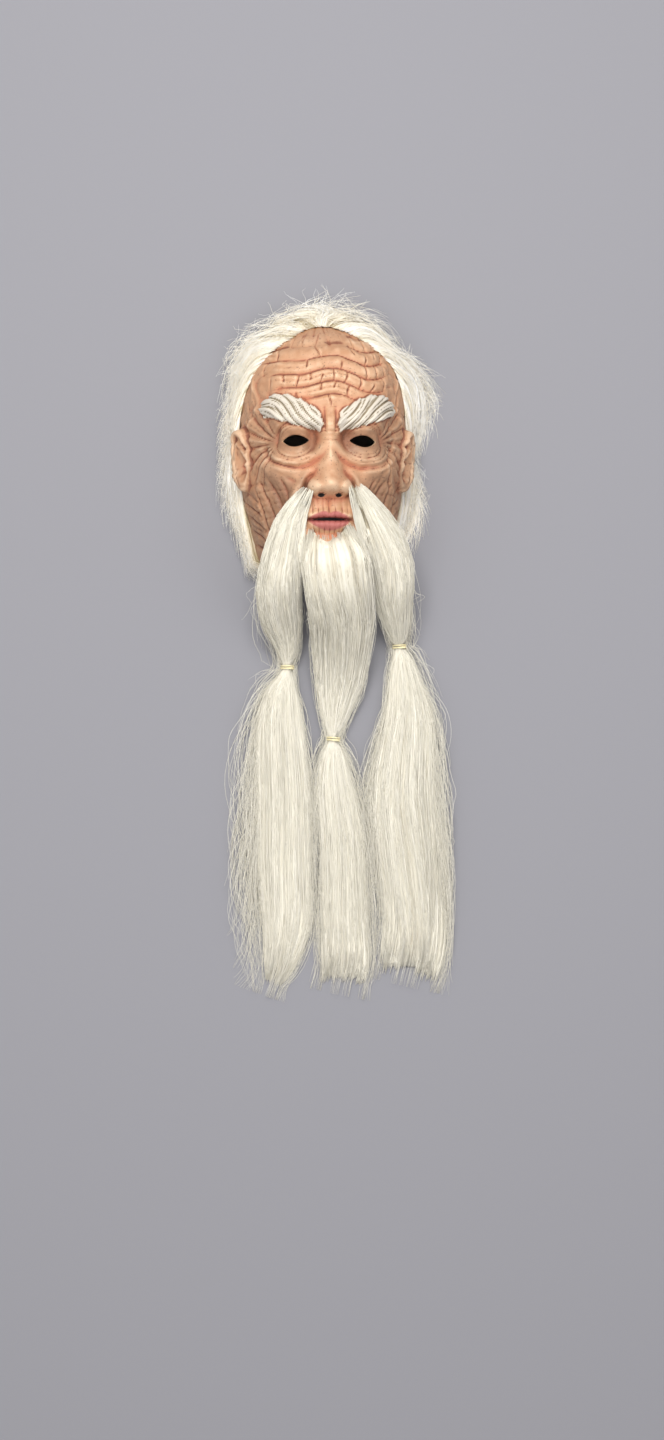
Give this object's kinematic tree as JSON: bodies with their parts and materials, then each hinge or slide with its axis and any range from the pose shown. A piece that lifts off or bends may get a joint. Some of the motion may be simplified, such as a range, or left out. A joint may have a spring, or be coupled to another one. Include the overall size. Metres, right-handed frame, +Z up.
{
  "type": "mask",
  "caption": "Hollow cast mask of an old wizard's face with moulded brows, hair round the crown and long banded moustache and beard tresses, lying face up.",
  "frame": {"origin": "middle of the underside of the whole mask's box, on the floor that it lies on", "axes": "+X to the right of the picture, +Y from the beard's tips to the crown, +Z up out of the face"},
  "size_m": [0.2352, 0.7426, 0.1417],
  "materials": {
    "latex": "satin cast latex, flesh paint with darker washes, white moulded brows",
    "hair": "white synthetic fibre, loosely combed",
    "tress": "cream-white synthetic fibre, straight and combed",
    "band": "pale yellow rubber band"
  },
  "bodies": {
    "root": {"latex_mask": "latex", "head_hair": "hair", "moustache_left": "tress", "moustache_right": "tress", "beard": "tress", "band_moustache_left": "band", "band_moustache_right": "band", "band_beard": "band"}
  },
  "joints": []
}
